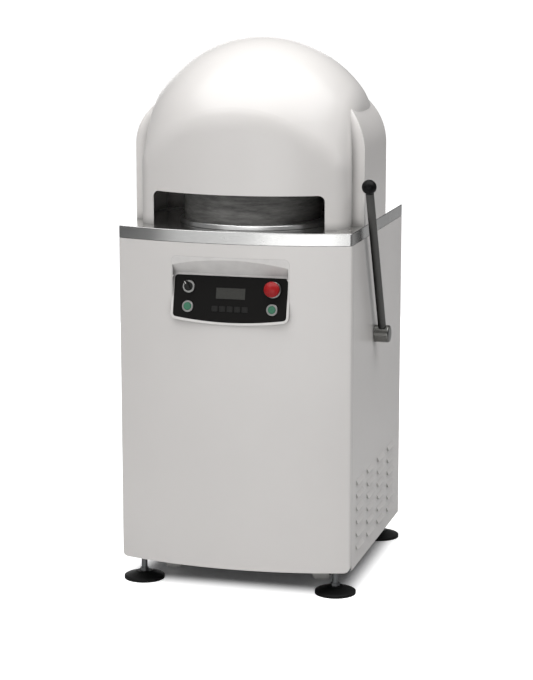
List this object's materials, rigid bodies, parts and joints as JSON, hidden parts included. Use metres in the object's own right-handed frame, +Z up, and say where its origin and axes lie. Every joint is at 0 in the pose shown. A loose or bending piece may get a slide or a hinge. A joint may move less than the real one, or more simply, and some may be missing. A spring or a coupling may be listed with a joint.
{
  "type": "dough divider rounder",
  "caption": "Floor-standing bakery machine that presses, cuts and rounds dough on an orbiting plate under a domed hood, with a side clutch lever and front controls.",
  "frame": {"origin": "on the floor under the middle of the part's box", "axes": "+Z up, -Y to the front with the controls, +X to the side with the clutch lever"},
  "size_m": [0.668, 0.6987, 1.433],
  "materials": {
    "white_enamel": "smooth powder coat, soft sheen",
    "grey_enamel": "powder coat",
    "stainless": "brushed, bright edges",
    "machined_steel": "turned and ground",
    "galvanised": "zinc plated",
    "casting": "cast, painted grey",
    "plate_alloy": "polished",
    "dark_steel": "dark, lightly brushed",
    "black_steel": "black, semi-gloss",
    "black_knob": "glossy black",
    "white_moulding": "satin moulding",
    "black_fascia": "glossy black",
    "display": "smoked window",
    "switch_black": "moulded",
    "bezel_metal": "bright",
    "green_plastic": "moulded in colour",
    "red_plastic": "moulded in colour",
    "foot_plastic": "moulded black",
    "roller_nylon": "turned nylon",
    "belt_rubber": "matt",
    "bronze": "turned"
  },
  "bodies": {
    "cabinet": {"base_pan": "galvanised", "cabinet_posts": "galvanised", "drive_deck": "machined_steel", "motor_shelf": "galvanised", "front_panel": "white_enamel", "left_side_panel": "white_enamel", "right_side_panel": "white_enamel", "rear_panel": "white_enamel", "worktop": "stainless", "front_hood": "white_enamel", "rear_cover": "white_enamel", "foot_pads": "foot_plastic", "foot_stems": "galvanised", "roller_mounts": "galvanised", "control_housing": "white_moulding", "control_fascia": "black_fascia", "display_window": "display", "switch_bodies": "switch_black", "button_bezels": "bezel_metal", "main_housing": "casting", "main_bearings": "machined_steel", "drive_belt": "belt_rubber", "drive_motor": "grey_enamel", "lever_bearings": "bronze", "guide_columns": "machined_steel", "column_nuts": "galvanised", "head_bridge": "casting", "cylinder_barrel": "grey_enamel", "oil_tank": "grey_enamel", "pump_unit": "grey_enamel", "electrical_box": "grey_enamel", "cable_gland": "switch_black"},
    "eccentric": {"eccentric_shaft": "machined_steel"},
    "orbit_table": {"orbit_table": "casting"},
    "moulding_plate": {"moulding_plate": "plate_alloy"},
    "satellite_a": {"satellite_crank_a": "machined_steel"},
    "satellite_b": {"satellite_crank_b": "machined_steel"},
    "satellite_c": {"satellite_crank_c": "machined_steel"},
    "clutch_sleeve": {"clutch_sleeve": "machined_steel"},
    "clutch_lever": {"shift_fork": "casting", "lever_shaft": "machined_steel", "lever_hub": "dark_steel", "lever_rod": "black_steel", "lever_knob": "black_knob"},
    "driven_pulley": {"driven_pulley": "casting"},
    "motor_rotor": {"motor_pulley": "machined_steel"},
    "dividing_head": {"crosshead": "casting", "guide_bushes": "bronze", "head_ring": "dark_steel", "piston_rod": "machined_steel"},
    "press": {"press_plate": "plate_alloy"},
    "knives": {"knife_star": "stainless"},
    "start_left": {"start_button_left": "green_plastic"},
    "start_right": {"start_button_right": "green_plastic"},
    "emergency_stop": {"estop_button": "red_plastic"},
    "selector": {"selector_knob": "switch_black"},
    "roller_front_left": {"transport_roller_front_left": "roller_nylon"},
    "roller_front_right": {"transport_roller_front_right": "roller_nylon"},
    "roller_rear_left": {"transport_roller_rear_left": "roller_nylon"},
    "roller_rear_right": {"transport_roller_rear_right": "roller_nylon"}
  },
  "joints": [
    {"name": "lever_swing", "type": "hinge", "parent": "cabinet", "child": "clutch_lever", "pos_m": [-0.017, -0.01164, 0.651], "axis": [1, 0, 0], "range_deg": [-20, 0]},
    {"name": "orbit_spin", "type": "hinge", "parent": "cabinet", "child": "eccentric", "pos_m": [-0.017, -0.10964, 0.9], "axis": [0, 0, 1], "continuous": true},
    {"name": "table_orbit", "type": "hinge", "parent": "eccentric", "child": "orbit_table", "pos_m": [-0.005, -0.10964, 0.957], "axis": [0, 0, 1], "continuous": true},
    {"name": "clutch_slide", "type": "slide", "parent": "eccentric", "child": "clutch_sleeve", "axis": [0, 0, 1], "range_m": [0, 0.03357]},
    {"name": "plate_slide", "type": "slide", "parent": "orbit_table", "child": "moulding_plate", "axis": [0, -1, 0], "range_m": [0, 0.22]},
    {"name": "pulley_spin", "type": "hinge", "parent": "cabinet", "child": "driven_pulley", "pos_m": [-0.017, -0.10964, 0.722], "axis": [0, 0, 1], "continuous": true},
    {"name": "motor_spin", "type": "hinge", "parent": "cabinet", "child": "motor_rotor", "pos_m": [-0.017, 0.16636, 0.722], "axis": [0, 0, 1], "continuous": true},
    {"name": "head_lift", "type": "slide", "parent": "cabinet", "child": "dividing_head", "axis": [0, 0, 1], "range_m": [0, 0.075]},
    {"name": "press_slide", "type": "slide", "parent": "dividing_head", "child": "press", "axis": [0, 0, -1], "range_m": [0, 0.028]},
    {"name": "knife_slide", "type": "slide", "parent": "dividing_head", "child": "knives", "axis": [0, 0, -1], "range_m": [0, 0.03]},
    {"name": "start_left_press", "type": "slide", "parent": "cabinet", "child": "start_left", "axis": [0, 0.9744, -0.225], "range_m": [0, 0.0035], "stiffness_N_per_m": 800},
    {"name": "start_right_press", "type": "slide", "parent": "cabinet", "child": "start_right", "axis": [0, 0.9744, -0.225], "range_m": [0, 0.0035], "stiffness_N_per_m": 800},
    {"name": "stop_press", "type": "slide", "parent": "cabinet", "child": "emergency_stop", "axis": [0, 0.9744, -0.225], "range_m": [0, 0.005]},
    {"name": "selector_turn", "type": "hinge", "parent": "cabinet", "child": "selector", "pos_m": [-0.129, -0.32139, 0.80877], "axis": [0, -0.9744, 0.225], "range_deg": [-45, 45]},
    {"name": "satellite_a_spin", "type": "hinge", "parent": "cabinet", "child": "satellite_a", "pos_m": [-0.017, 0.01536, 0.872], "axis": [0, 0, 1], "continuous": true},
    {"name": "satellite_b_spin", "type": "hinge", "parent": "cabinet", "child": "satellite_b", "pos_m": [-0.12525, -0.17214, 0.872], "axis": [0, 0, 1], "continuous": true},
    {"name": "satellite_c_spin", "type": "hinge", "parent": "cabinet", "child": "satellite_c", "pos_m": [0.09125, -0.17214, 0.872], "axis": [0, 0, 1], "continuous": true},
    {"name": "roller_front_left_spin", "type": "hinge", "parent": "cabinet", "child": "roller_front_left", "pos_m": [-0.222, -0.16864, 0.0326], "axis": [1, 0, 0], "continuous": true},
    {"name": "roller_front_right_spin", "type": "hinge", "parent": "cabinet", "child": "roller_front_right", "pos_m": [0.188, -0.16864, 0.0326], "axis": [1, 0, 0], "continuous": true},
    {"name": "roller_rear_left_spin", "type": "hinge", "parent": "cabinet", "child": "roller_rear_left", "pos_m": [-0.222, 0.20136, 0.0326], "axis": [1, 0, 0], "continuous": true},
    {"name": "roller_rear_right_spin", "type": "hinge", "parent": "cabinet", "child": "roller_rear_right", "pos_m": [0.188, 0.20136, 0.0326], "axis": [1, 0, 0], "continuous": true}
  ],
  "couplings": [
    {"joint": "clutch_slide", "follows": "lever_swing", "m_per_rad": -0.096022},
    {"joint": "table_orbit", "follows": "orbit_spin", "ratio": -1},
    {"joint": "motor_spin", "follows": "pulley_spin", "ratio": 3},
    {"joint": "satellite_a_spin", "follows": "orbit_spin", "ratio": 1},
    {"joint": "satellite_b_spin", "follows": "orbit_spin", "ratio": 1},
    {"joint": "satellite_c_spin", "follows": "orbit_spin", "ratio": 1}
  ]
}
